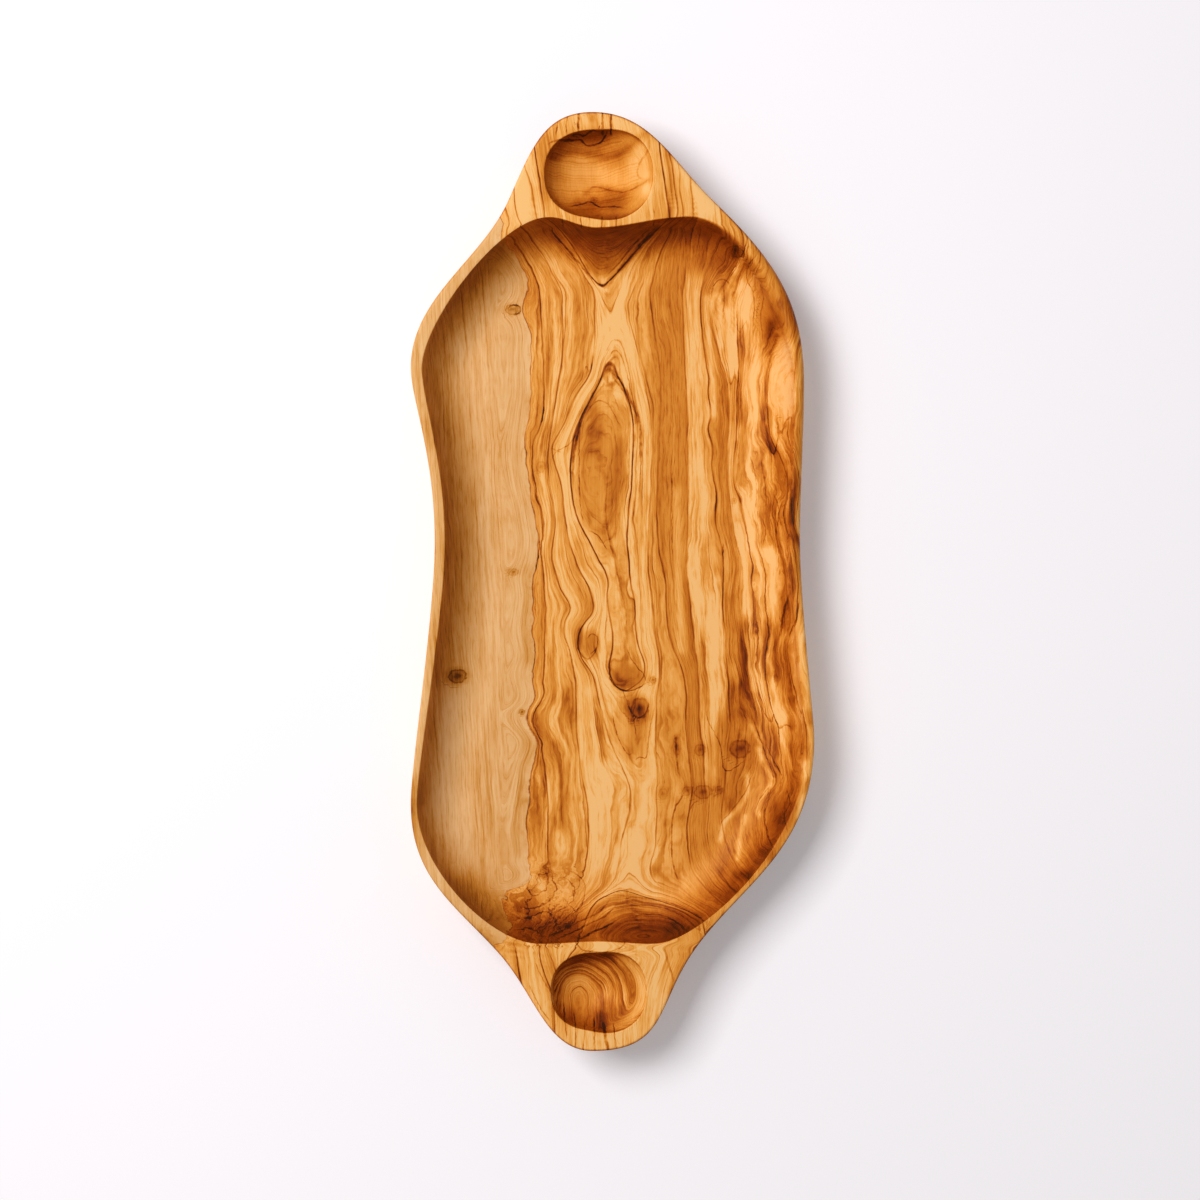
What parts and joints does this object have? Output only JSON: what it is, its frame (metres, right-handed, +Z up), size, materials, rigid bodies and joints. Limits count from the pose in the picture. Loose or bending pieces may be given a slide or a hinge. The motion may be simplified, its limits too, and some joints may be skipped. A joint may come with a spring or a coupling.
{
  "type": "serving dish",
  "caption": "Shallow carved olive-wood serving dish: a long waisted tray with coved walls, and a small dip bowl sunk into the handle at each end.",
  "frame": {"origin": "middle of the dish's length and width, on the table plane under the flat foot", "axes": "+Z up, +Y along the length towards the larger dip bowl, +X to the right seen from above"},
  "size_m": [0.202, 0.47, 0.036],
  "materials": {
    "olive_wood": "oiled, satin"
  },
  "bodies": {
    "root": {"dish_body": "olive_wood"}
  },
  "joints": []
}
